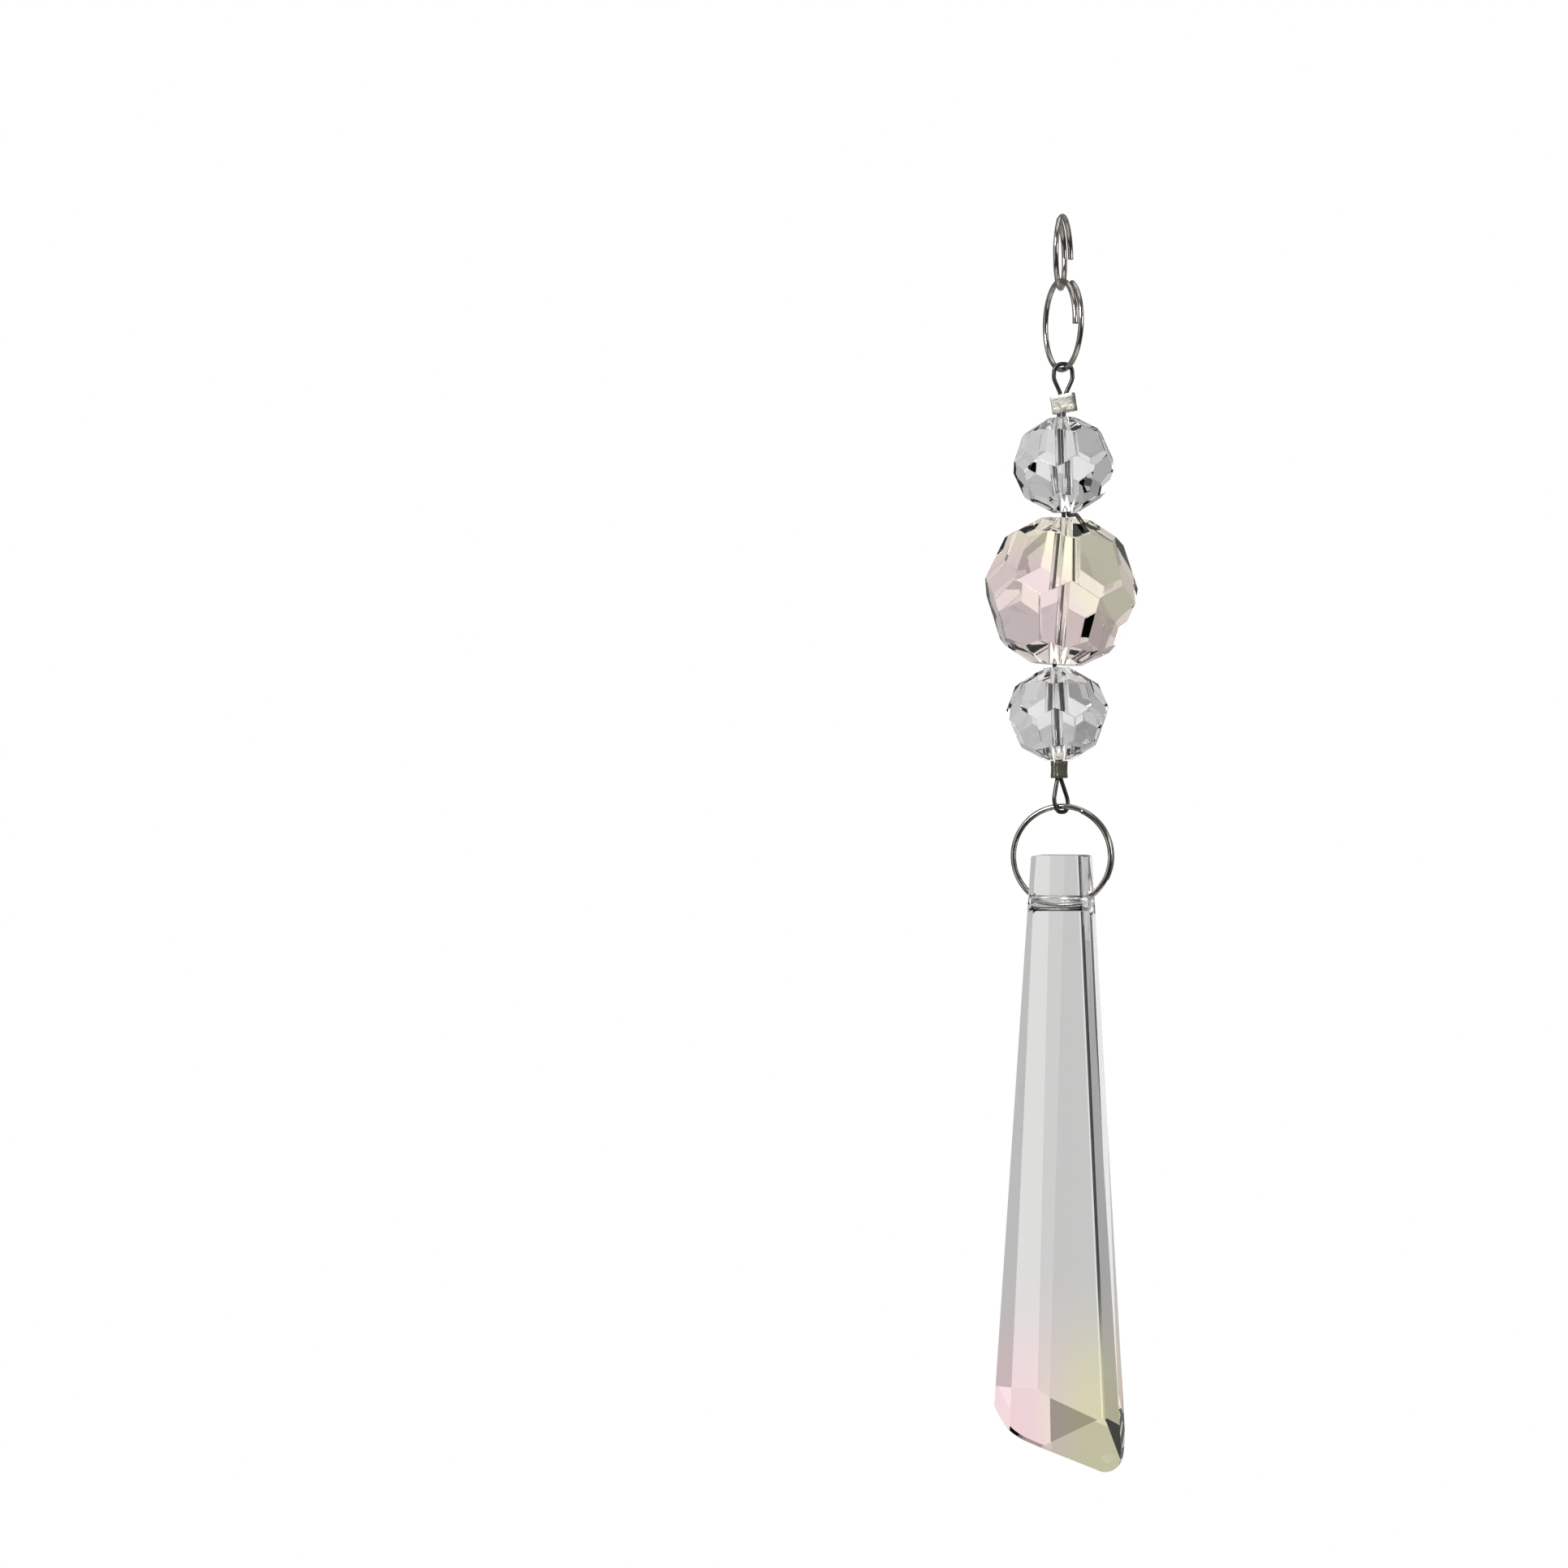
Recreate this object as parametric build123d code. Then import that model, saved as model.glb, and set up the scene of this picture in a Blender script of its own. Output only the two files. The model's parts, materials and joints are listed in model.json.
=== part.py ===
from build123d import *
import os
from math import cos, radians, sin

# Icicle hanging ornament: two split rings, a wire strand with three faceted beads, a third
# split ring and a long bevelled crystal prism.  Millimetres.  +Z is up, +X is to the right seen
# from the front and +Y points away from the viewer.  The origin is the inside of the top ring,
# at the place where the hook or eyelet that carries the ornament bears.

# Split rings: coils of round spring wire, a little over one turn each.
ring_wire = 0.65
ring_pitch = 0.75
ring_gap = 0.20
loop_gap = 0.10
top_ring_radius = 4.225
link_ring_radius = 5.25
icicle_ring_radius = 5.875
top_ring_yaw = 77
link_ring_yaw = -72
icicle_ring_yaw = -14
# Angles of the two ends of each coil, seen along its axis, from sideways through up.
top_ring_ends = (-5, 74)
link_ring_ends = (-4, 68)
icicle_ring_ends = (-28, 66)

# Beading wire, with a loop at each end that is closed by a flattened crimp tube.
bead_wire = 0.50
wire_pair_offset = 0.28
crimp_fit = 0.01
lower_loop_yaw = 45
upper_loop_half_width = 1.02
upper_loop_shoulder = 1.12
upper_loop_shoulder_z = -18.85
lower_loop_half_width = 1.05
lower_loop_shoulder = 1.22
lower_loop_shoulder_x = -0.30
lower_loop_shoulder_z = -68.70
crimp_top_z = -20.70
lower_crimp_low_z = -66.20
upper_crimp_size = (2.9, 1.05, 2.15)
lower_crimp_size = (2.35, 1.05, 2.05)
crimp_slit = 0.10
upper_crimp_centre = (0.06, -21.80)
upper_crimp_tilt = -9
upper_crimp_turn = -22
lower_crimp_centre = (-0.48, -65.18)
# The spare end of the wire leaves below the upper bead and points forward and to the right.
tail_shoulder = (1.35, -2.75, -35.10)
tail_tip = (2.10, -4.85, -36.45)

# Faceted round beads: four rows of eight facets round a straight hole.
small_bead_diameter = 12.1
upper_bead_height = 11.2
lower_bead_height = 10.95
centre_bead_diameter = 18.3
centre_bead_height = 17.25
small_bead_flat = 1.5
centre_bead_flat = 2.8
bead_turns = (11, 4, -6)
bead_hole = 1.40
hole_countersink = 0.35
facets_per_row = 8
middle_row_latitude = 20.5
end_row_latitude = 58.5
# The widest corners of a staggered bead stand this much further out than its middle facets.
corner_reach = 1.11

# Heights at which the wire crosses from one bead to the next, and how far it wanders sideways.
wire_knots_x = (-0.24, 0.34, -0.85, -0.50)
wire_knots_z = (-23.30, -35.10, -52.90, -64.05)
bead_top_gaps = (0.20, 0.40, 0.18)

# Icicle prism, in its own axes: X along the hole, Y through the thickness, Z up.
icicle_top = -75.30
icicle_bottom = -147.95
icicle_half_thickness = 3.05
front_half_width_top = 2.61
front_half_width_bottom = 5.92
side_faces_top = (-3.19, 3.18)
side_faces_bottom = (-8.37, 7.55)
side_half_height_middle = 2.05
back_strip_top = (-1.56, 0.21)
back_strip_bottom = (-3.30, -1.87)
icicle_hole = 1.90
icicle_hole_z = -81.00
countersink_start = 2.85
countersink_depth = 2.0
shoulder_drop = 0.25
icicle_ring_top_x = -0.10
icicle_ring_top_z = -69.55
# Three points on each flat of the chisel tip: two flats on the back and one on the front.
tip_flats = [
    [(-1.60, 3.05, -139.75), (4.07, 2.40, -141.50), (-1.36, 1.53, -142.75)],
    [(-1.60, 3.05, -139.75), (-6.10, 2.39, -138.20), (-1.36, 1.53, -142.75)],
    [(5.32, -3.05, -141.35), (-2.11, -3.05, -145.15), (5.35, -1.60, -148.00)],
]
# Start, middle and end of the two round corners of the tip's outline.
left_corner = [(-7.45, -141.20), (-5.91, -143.09), (-3.84, -144.40)]
toe_corner = [(4.74, -147.82), (6.55, -147.60), (7.33, -145.95)]
outline_reach = 12

strand_y = ring_pitch / 2 * (cos(radians(top_ring_yaw)) + cos(radians(link_ring_yaw)))


def horizontal(yaw):
    """Unit vector in the horizontal plane, turned from +X by yaw degrees."""
    return Vector(cos(radians(yaw)), sin(radians(yaw)), 0)


def across(yaw):
    """Unit vector at right angles to horizontal(yaw)."""
    return horizontal(yaw + 90)


def split_ring(radius, yaw, top_point, ends, left_hand):
    """Coil of round wire that passes through top_point; angles run from +u through up."""
    free_end, last_end = ends
    turns = (last_end - free_end + 360) / 360
    start = last_end if left_hand else free_end
    top_turn = ((last_end - 90) if left_hand else (90 - free_end)) % 360 / 360
    coil = Helix(ring_pitch, turns * ring_pitch, radius, lefthand=left_hand)
    section = Plane(coil @ 0, z_dir=coil % 0) * Circle(ring_wire / 2)
    ring = sweep(section, path=coil, is_frenet=True)
    ring = Pos(0, 0, -top_turn * ring_pitch) * Rot(0, 0, start) * ring
    centre = top_point - Vector(0, 0, radius)
    return Plane(centre, x_dir=horizontal(yaw), z_dir=-across(yaw)) * ring


def ring_bottom(radius, yaw, top_point, left_hand):
    """Centre of the wire at the bottom of a split ring, half a turn past its top."""
    side = 0.5 if left_hand else -0.5
    return top_point - Vector(0, 0, 2 * radius) + across(yaw) * (side * ring_pitch)


def tube(points, radii, diameter):
    """Round wire along straight runs joined by tangent arcs."""
    path = FilletPolyline(*points, radius=radii)
    section = Plane(path @ 0, z_dir=path % 0) * Circle(diameter / 2)
    return sweep(section, path=path)


def trim(solid, points, inside):
    """Cut a solid with the plane through three points and keep the side of the inside point."""
    first, second, third = (Vector(*p) for p in points)
    normal = (second - first).cross(third - first).normalized()
    if normal.dot(Vector(*inside) - first) > 0:
        normal = -normal
    return split(solid, bisect_by=Plane(first, z_dir=normal), keep=Keep.BOTTOM)


def faceted_bead(diameter, height, flat):
    """Round bead about Z with four staggered rows of facets and a countersunk hole."""
    half = height / 2
    middle_distance = diameter / 2 / corner_reach
    end_distance = (flat * cos(radians(end_row_latitude))
                    + half * sin(radians(end_row_latitude)))
    rows = [
        (end_row_latitude, end_distance, 0.0),
        (middle_row_latitude, middle_distance, 0.5),
        (-middle_row_latitude, middle_distance, 1.0),
        (-end_row_latitude, end_distance, 1.5),
    ]
    bead = Cylinder(diameter, height)
    for latitude, distance, stagger in rows:
        for facet in range(facets_per_row):
            turn = 360 / facets_per_row * (facet + stagger)
            normal = horizontal(turn) * cos(radians(latitude))
            normal += Vector(0, 0, sin(radians(latitude)))
            cut = Plane(normal * distance, z_dir=normal)
            bead = split(bead, bisect_by=cut, keep=Keep.BOTTOM)
    bead -= Cylinder(bead_hole / 2, height * 2)
    for end in (-1, 1):
        mouth = Cone(bead_hole / 2, bead_hole / 2 + 2 * hole_countersink, 2 * hole_countersink)
        bead -= Pos(0, 0, end * half) * Rot(0 if end > 0 else 180, 0, 0) * mouth
    return bead


# Where the rings, the loops and the icicle meet, from the top down.
top_ring_top = Vector(0, 0, ring_wire / 2)
top_ring_low = ring_bottom(top_ring_radius, top_ring_yaw, top_ring_top, True)
link_ring_top = top_ring_low + Vector(0, 0, ring_wire + ring_gap)
link_ring_low = ring_bottom(link_ring_radius, link_ring_yaw, link_ring_top, True)
loop_step = Vector(0, 0, (ring_wire + bead_wire) / 2 + loop_gap)
upper_loop_top = link_ring_low + loop_step
icicle_ring_top = Vector(icicle_ring_top_x, strand_y, icicle_ring_top_z)
lower_loop_low = icicle_ring_top - loop_step
icicle_ring_low = ring_bottom(icicle_ring_radius, icicle_ring_yaw, icicle_ring_top, False)
icicle_axis = Vector(icicle_ring_low.X, icicle_ring_low.Y, icicle_hole_z)
knots = [Vector(x, strand_y, z) for x, z in zip(wire_knots_x, wire_knots_z)]

top_split_ring = split_ring(
    top_ring_radius, top_ring_yaw, top_ring_top, top_ring_ends, True)
link_split_ring = split_ring(
    link_ring_radius, link_ring_yaw, link_ring_top, link_ring_ends, True)
icicle_split_ring = split_ring(
    icicle_ring_radius, icicle_ring_yaw, icicle_ring_top, icicle_ring_ends, False)

# The beading wire: from its upper tail, up round the upper loop, down through the beads,
# round the lower loop and back up into the lower bead.
upper_pair = horizontal(0) * wire_pair_offset
lower_pair = horizontal(lower_loop_yaw) * wire_pair_offset
upper_half_loop = horizontal(0)
lower_half_loop = horizontal(lower_loop_yaw)


def level(point, z):
    """The point moved up or down to height z."""
    return Vector(point.X, point.Y, z)


upper_mouth = level(upper_loop_top, crimp_top_z)
lower_mouth = level(knots[3], lower_crimp_low_z)
lower_shoulder = Vector(lower_loop_shoulder_x, strand_y, lower_loop_shoulder_z)
wire_points = [
    Vector(0, strand_y, 0) + Vector(*tail_tip),
    Vector(0, strand_y, 0) + Vector(*tail_shoulder),
    knots[1] + upper_pair,
    knots[0] + upper_pair,
    upper_mouth + upper_pair,
    level(upper_mouth, upper_loop_shoulder_z) + upper_half_loop * upper_loop_shoulder,
    upper_loop_top + upper_half_loop * upper_loop_half_width,
    upper_loop_top - upper_half_loop * upper_loop_half_width,
    level(upper_mouth, upper_loop_shoulder_z) - upper_half_loop * upper_loop_shoulder,
    upper_mouth - upper_pair,
    knots[0] - upper_pair,
    knots[1] - upper_pair,
    knots[2] - lower_pair,
    knots[3] - lower_pair,
    lower_mouth - lower_pair,
    lower_shoulder - lower_half_loop * lower_loop_shoulder,
    lower_loop_low - lower_half_loop * lower_loop_half_width,
    lower_loop_low + lower_half_loop * lower_loop_half_width,
    lower_shoulder + lower_half_loop * lower_loop_shoulder,
    lower_mouth + lower_pair,
    knots[3] + lower_pair,
    knots[2] + lower_pair * 1.6 - Vector(0, 0, 1.2),
]
bend_radii = [1.2, 0.32, 3.0, 1.5, 1.6, 0.96, 0.96, 1.6, 1.5, 3.0, 3.0, 3.0, 3.0, 1.5,
              1.6, 0.98, 0.98, 1.6, 1.5, 3.0]
beading_wire = tube(wire_points, bend_radii, bead_wire)
crimp_clearance = tube(wire_points, bend_radii, bead_wire + 2 * crimp_fit)


def squeezed_crimp(size, place):
    """Flattened tube placed on the strand, with the wires pressed into it."""
    width, thickness, height = size
    body = extrude(SlotOverall(width, thickness), height / 2, both=True)
    body -= Box(width - thickness, crimp_slit, height * 2)
    return place * body - crimp_clearance


upper_crimp_place = Pos(upper_crimp_centre[0], strand_y, upper_crimp_centre[1])
upper_crimp_place *= Rot(0, upper_crimp_tilt, 0) * Rot(0, 0, upper_crimp_turn)
lower_crimp_place = Pos(lower_crimp_centre[0], strand_y, lower_crimp_centre[1])
lower_crimp_place *= Rot(0, 0, lower_loop_yaw)
upper_crimp = squeezed_crimp(upper_crimp_size, upper_crimp_place)
lower_crimp = squeezed_crimp(lower_crimp_size, lower_crimp_place)


def bead_place(height, index):
    """Centre and axis of a bead on the stretch of wire between two knots."""
    upper, lower = knots[index], knots[index + 1]
    axis = (upper - lower).normalized()
    return upper - axis * (bead_top_gaps[index] + height / 2), axis


def strung_bead(diameter, height, flat, index):
    """Bead on its stretch of wire, turned about that stretch."""
    centre, axis = bead_place(height, index)
    place = Plane(centre, x_dir=Vector(axis.Z, 0, -axis.X), z_dir=axis)
    return place * Rot(0, 0, bead_turns[index]) * faceted_bead(diameter, height, flat)


bead_heights = (upper_bead_height, centre_bead_height, lower_bead_height)
upper_bead = strung_bead(small_bead_diameter, upper_bead_height, small_bead_flat, 0)
centre_bead = strung_bead(centre_bead_diameter, centre_bead_height, centre_bead_flat, 1)
lower_bead = strung_bead(small_bead_diameter, lower_bead_height, small_bead_flat, 2)


def icicle():
    """Long tapering prism: flat front, bevelled sides, ridged back and an oblique chisel tip."""
    t = icicle_half_thickness
    top, bottom = icicle_top, icicle_bottom
    middle = (top + bottom) / 2
    core = (0, 0, middle)
    body = Pos(0, 0, middle) * Box(2 * outline_reach, 2 * t, top - bottom)
    for index, side in enumerate((-1, 1)):
        side_top, side_bottom = side_faces_top[index], side_faces_bottom[index]
        side_middle = (side_top + side_bottom) / 2
        front_top, front_bottom = side * front_half_width_top, side * front_half_width_bottom
        body = trim(body, [(side_top, 0, top), (side_bottom, 0, bottom),
                           (side_bottom, t, bottom)], core)
        body = trim(body, [(front_top, -t, top), (front_bottom, -t, bottom),
                           (side_middle, -side_half_height_middle, middle)], core)
        body = trim(body, [(back_strip_top[index], t, top), (back_strip_bottom[index], t, bottom),
                           (side_middle, side_half_height_middle, middle)], core)
        shoulder = (side_top + side, 0, top - 2 * shoulder_drop)
        body = trim(body, [(front_top, 0, top), (front_top, t, top), shoulder], core)
    for flat in tip_flats:
        body = trim(body, flat, core)
    body &= extrude(Plane.XZ * tip_outline(), 2 * t, both=True)
    # Cross hole for the ring, with a wide countersink at each mouth.
    along = Pos(0, 0, icicle_hole_z) * Rot(0, 90, 0)
    body -= along * Cylinder(icicle_hole / 2, 2 * outline_reach)
    r = icicle_hole / 2
    for side in (-1, 1):
        mouth = Cone(r, r + countersink_depth, countersink_depth)
        outward = Rot(0, 0 if side > 0 else 180, 0)
        centre = Pos(side * (countersink_start + countersink_depth / 2), 0, icicle_hole_z)
        body -= centre * Rot(0, 90 * side, 0) * mouth
    return Pos(icicle_axis.X, icicle_axis.Y, 0) * Rot(0, 0, icicle_ring_yaw) * body


def tip_outline():
    """Front outline of the icicle: open above, round left shoulder, slant, round right toe."""
    left = ThreePointArc(*left_corner)
    slant = Line(left_corner[2], toe_corner[0])
    toe = ThreePointArc(*toe_corner)
    reach, roof = outline_reach, icicle_top + outline_reach
    shoulder = left_corner[0][1]
    rest = Polyline(toe_corner[2], (reach, shoulder), (reach, roof), (-reach, roof),
                    (-reach, shoulder), left_corner[0])
    return make_face([left, slant, toe, rest])


icicle_prism = icicle()

pieces = {
    "top_split_ring": top_split_ring,
    "link_split_ring": link_split_ring,
    "beading_wire": beading_wire,
    "upper_crimp": upper_crimp,
    "upper_bead": upper_bead,
    "centre_bead": centre_bead,
    "lower_bead": lower_bead,
    "lower_crimp": lower_crimp,
    "icicle_split_ring": icicle_split_ring,
    "icicle_prism": icicle_prism,
}

os.makedirs("parts", exist_ok=True)
for name, shape in pieces.items():
    export_step(shape, f"parts/{name}.step")

wire_path = FilletPolyline(*wire_points, radius=bend_radii)
print("wire length", round(wire_path.length, 1))
print("link swing", top_ring_low)
print("strand swing", upper_loop_top)
for index, height in enumerate(bead_heights):
    print("bead spin", *bead_place(height, index))
print("icicle ring swing", lower_loop_low)
print("icicle swing", icicle_axis)
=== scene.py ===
# %% [markdown]
# # Icicle hanging ornament
#
# A strand that hangs from a hook by a small split ring. Below the ring come a second split
# ring, a wire that carries three cut-glass beads between two crimped loops, a third split ring
# and a long cut crystal. The frame is the engineering model. Places come from its hinges and
# boxes, its sizes are repeated here, and each piece made here takes over from one of its nodes.

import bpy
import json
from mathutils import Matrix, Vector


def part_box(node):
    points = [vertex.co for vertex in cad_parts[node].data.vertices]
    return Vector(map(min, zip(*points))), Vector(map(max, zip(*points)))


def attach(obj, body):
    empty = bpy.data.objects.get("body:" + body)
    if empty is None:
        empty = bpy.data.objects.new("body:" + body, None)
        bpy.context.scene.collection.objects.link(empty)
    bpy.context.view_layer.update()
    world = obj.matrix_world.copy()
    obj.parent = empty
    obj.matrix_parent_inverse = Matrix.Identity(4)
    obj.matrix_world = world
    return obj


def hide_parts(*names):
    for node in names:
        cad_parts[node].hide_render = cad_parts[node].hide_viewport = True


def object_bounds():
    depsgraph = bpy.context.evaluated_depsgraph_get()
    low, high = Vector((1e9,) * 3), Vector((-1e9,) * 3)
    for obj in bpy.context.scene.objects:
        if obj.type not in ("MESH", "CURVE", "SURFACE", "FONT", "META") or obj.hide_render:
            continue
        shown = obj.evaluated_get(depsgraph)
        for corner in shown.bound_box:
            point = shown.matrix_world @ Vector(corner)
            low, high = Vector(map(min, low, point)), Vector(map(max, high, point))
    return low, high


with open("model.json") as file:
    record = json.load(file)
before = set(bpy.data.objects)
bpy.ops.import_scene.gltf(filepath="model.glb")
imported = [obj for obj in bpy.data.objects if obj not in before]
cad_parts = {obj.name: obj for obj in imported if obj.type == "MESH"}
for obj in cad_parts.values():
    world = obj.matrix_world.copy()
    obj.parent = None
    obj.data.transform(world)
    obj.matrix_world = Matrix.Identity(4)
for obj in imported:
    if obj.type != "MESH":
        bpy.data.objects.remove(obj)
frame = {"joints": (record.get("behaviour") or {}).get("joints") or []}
cad_low, cad_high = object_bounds()

# %% Imports and units
import json
from math import ceil, cos, pi, radians, sin, tan

import bmesh
import bpy
from mathutils import Matrix, Vector

mm = 0.001
hinges = {joint["name"]: joint for joint in frame["joints"]}


def hinge(name):
    """Place and direction of one of the frame's hinges."""
    joint = hinges[name]
    return Vector(joint["pos_m"]), Vector(joint["axis"]).normalized()


# %% [markdown]
# ## Camera
#
# The ornament hangs in front of plain white, seen level from the front through a long lens.
# It stands to the right of the picture, so the camera looks at a point beside it.

# %% Camera
lens = 100
sensor = 36
picture_width = 185.8 * mm
aim = Vector((-33.1 * mm, 0.0, -66.9 * mm))

camera_data = bpy.data.cameras.new("camera")
camera_data.lens = lens
camera_data.sensor_width = sensor
camera_data.clip_start = 0.01
camera = bpy.data.objects.new("camera", camera_data)
bpy.context.scene.collection.objects.link(camera)
distance = picture_width * lens / sensor
camera.location = aim - Vector((0, distance, 0))
camera.rotation_euler = (pi / 2, 0, 0)
bpy.context.scene.camera = camera
bpy.context.scene.view_settings.view_transform = "Standard"
print("camera distance", round(distance, 3))


# %% [markdown]
# ## A small language for shaders
#
# Node trees are quicker to read as sums than as boxes and links. `Signal` wraps one socket, so
# that `1 - mask * 0.3` adds the Math nodes it needs. `Finish` holds one material and makes any
# other node from its type, its settings and what goes into its sockets.

# %% Signals
class Signal:
    """One output socket that takes part in arithmetic."""

    def __init__(self, finish, socket):
        self.finish = finish
        self.socket = socket

    def _math(self, operation, first, second=None):
        values = {0: first} if second is None else {0: first, 1: second}
        return self.finish.node("ShaderNodeMath", {"operation": operation}, values)

    def __add__(self, other):
        return self._math("ADD", self, other)

    def __radd__(self, other):
        return self._math("ADD", other, self)

    def __sub__(self, other):
        return self._math("SUBTRACT", self, other)

    def __rsub__(self, other):
        return self._math("SUBTRACT", other, self)

    def __mul__(self, other):
        return self._math("MULTIPLY", self, other)

    def __rmul__(self, other):
        return self._math("MULTIPLY", other, self)


# %% Finishes
class Finish:
    """A node tree with short ways to add to it."""

    def __init__(self, name, tree=None):
        if tree is None:
            self.material = bpy.data.materials.new(name)
            self.material.use_nodes = True
            tree = self.material.node_tree
        self.tree = tree
        tree.nodes.clear()

    def node(self, kind, settings=None, values=None, output=0):
        """Adds a node: settings first, then socket values or links. Returns one output."""
        made = self.tree.nodes.new(kind)
        for key, value in (settings or {}).items():
            if key == "stops":
                self._set_stops(made.color_ramp, value)
            else:
                setattr(made, key, value)
        for key, value in (values or {}).items():
            if isinstance(value, Signal):
                self.tree.links.new(value.socket, made.inputs[key])
            else:
                made.inputs[key].default_value = value
        return Signal(self, made.outputs[output]) if made.outputs else made

    def _set_stops(self, ramp, stops):
        while len(ramp.elements) < len(stops):
            ramp.elements.new(1.0)
        for element, (place, colour) in zip(ramp.elements, stops):
            element.position = place
            element.color = (*colour, 1.0)

    def place(self):
        """Object coordinates, in metres."""
        return self.node("ShaderNodeTexCoord", output="Object")

    def parts(self, vector):
        """The three numbers of a vector."""
        split = self.node("ShaderNodeSeparateXYZ", {}, {0: vector}, output=0)
        outputs = split.socket.node.outputs
        return [Signal(self, outputs[index]) for index in range(3)]

    def step(self, value, low, high):
        """0 below low and 1 above high, smooth between; falls if low is above high."""
        return self.node("ShaderNodeMapRange", {"interpolation_type": "SMOOTHSTEP"},
                         {0: value, 1: low, 2: high, 3: 0.0, 4: 1.0})

    def mix(self, factor, first, second):
        """Blend of two colours."""
        first, second = (c if isinstance(c, Signal) else (*c, 1.0) for c in (first, second))
        return self.node("ShaderNodeMix", {"data_type": "RGBA"},
                         {0: factor, 6: first, 7: second}, output=2)

    def noise(self, vector, scale, detail=3.0, roughness=0.55):
        return self.node("ShaderNodeTexNoise", {},
                         {"Vector": vector, "Scale": scale, "Detail": detail,
                          "Roughness": roughness})

    def stretch(self, vector, scale):
        """The same place, squeezed along each axis, for streaks and draw marks."""
        return self.node("ShaderNodeMapping", {}, {"Vector": vector, "Scale": scale})

    def bump(self, height, distance, strength=1.0):
        return self.node("ShaderNodeBump", {},
                         {"Height": height, "Distance": distance, "Strength": strength})

    def surface(self, shader):
        self.node("ShaderNodeOutputMaterial", {}, {"Surface": shader})
        return self.material


# %% [markdown]
# ## Sky and lamps
#
# Cut glass shows what is behind and beside it, so the sky is a studio. Behind the ornament is
# a paper sweep with two bright joints, a dark card in two parts and a dark slit. The room on
# the camera's side is dark, with a lamp at each side. One lamp is overhead, and a small kicker
# stands behind on the right. The tones were chosen facet by facet for the view from the front.
# The camera itself sees clean white.

# %% Sky
card_shade = 0.93
slit_shade = 0.55
high_shade = 0.25
joint_light = 0.30
room_light = 0.05
ceiling_light = 0.10
room_light_through_glass = 0.66
reflected_share = 0.40
left_lamp_light = 0.75
right_lamp_light = 0.9
overhead_light = 0.9
kicker_light = 0.42

world = bpy.data.worlds.new("studio")
world.use_nodes = True
bpy.context.scene.world = world
sky = Finish("studio", world.node_tree)
ray = sky.node("ShaderNodeTexCoord", output="Generated")
side, depth, rise = sky.parts(ray)


def band(value, low, high, soft):
    """1 between low and high, fading over soft at both ends."""
    return sky.step(value, low - soft, low) * (1 - sky.step(value, high, high + soft))


# The sweep from left to right: bright at its left end, darkest a quarter of the way along and
# brightest just right of the middle. Its joints and the dark card draw the long edges.
sweep = sky.node("ShaderNodeValToRGB", {"stops": [
    (0.00, (0.85,) * 3), (0.14, (0.75,) * 3), (0.23, (0.42,) * 3), (0.27, (0.42,) * 3),
    (0.48, (0.69,) * 3), (0.53, (0.81,) * 3), (0.605, (0.96,) * 3), (0.70, (0.78,) * 3),
    (0.79, (0.62,) * 3), (0.88, (0.74,) * 3), (1.00, (0.70,) * 3)]},
    {"Fac": side * 0.5 + 0.5})
_, paper, _ = sky.parts(sweep)
behind = sky.step(depth, -0.10, 0.35)
dark_card = band(side, -0.42, -0.22, 0.02) * (
    band(rise, -0.12, -0.01, 0.02) + band(rise, 0.11, 0.16, 0.01))
joint = band(side, -0.16, -0.10, 0.02) + band(side, 0.005, 0.025, 0.008)
joint = joint * (1 - sky.step(rise, 0.08, 0.10))
fall_off = 1 - high_shade * sky.step(rise, 0.18, 0.26)
level = paper * fall_off * (1 - card_shade * dark_card) + joint_light * joint

# A dark slit crosses the sweep a little above level, as far as just right of the middle.
slit = band(rise, 0.115, 0.165, 0.015) * (1 - sky.step(side, 0.10, 0.13))

# Rays that come out through glass see the sweep at its full level and a brighter room, and
# reflections see both darker. No real studio does that: it is a trick that keeps cut glass pale.
path = sky.node("ShaderNodeLightPath", output="Is Transmission Ray")
level = level * (1 - slit_shade * slit) * behind * (
    reflected_share + (1 - reflected_share) * path)
room = room_light + ceiling_light * sky.step(rise, -0.2, 0.9) + room_light_through_glass * path
level = level + room * (1 - behind)
left_lamp = band(side, -0.92, -0.62, 0.05) * band(rise, -0.35, 0.60, 0.10)
right_lamp = band(side, 0.80, 0.93, 0.04) * band(rise, -0.10, 0.45, 0.08)
lamps = left_lamp_light * left_lamp + right_lamp_light * right_lamp
level = level + lamps * (1 - behind)
level = level + overhead_light * sky.step(rise, 0.80, 0.90)
kicker = band(side, 0.54, 0.62, 0.02) * band(rise, 0.13, 0.20, 0.02) * behind
level = level + kicker_light * kicker

seen = sky.node("ShaderNodeLightPath", output="Is Camera Ray")
studio = sky.node("ShaderNodeBackground", {}, {"Color": (1.0, 0.995, 0.985, 1), "Strength": level})
clean = sky.node("ShaderNodeBackground", {}, {"Color": (1, 1, 1, 1), "Strength": 1.0})
blend = sky.node("ShaderNodeMixShader", {}, {0: seen, 1: studio, 2: clean})
sky.node("ShaderNodeOutputWorld", {}, {"Surface": blend})
print("sky nodes", len(world.node_tree.nodes))


# %% Lamps
def lamp(name, place, size, power):
    """Square soft lamp that faces the middle of the ornament."""
    data = bpy.data.lights.new(name, "AREA")
    data.shape = "SQUARE"
    data.size = size
    data.energy = power
    made = bpy.data.objects.new(name, data)
    bpy.context.scene.collection.objects.link(made)
    made.location = place
    towards = (cad_low + cad_high) / 2 - Vector(place)
    made.rotation_euler = towards.to_track_quat("-Z", "Y").to_euler()
    return made


lamp("key", (-0.45, -0.60, 0.35), 0.30, 4.0)
lamp("fill", (0.55, -0.45, 0.05), 0.25, 0.7)


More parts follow.
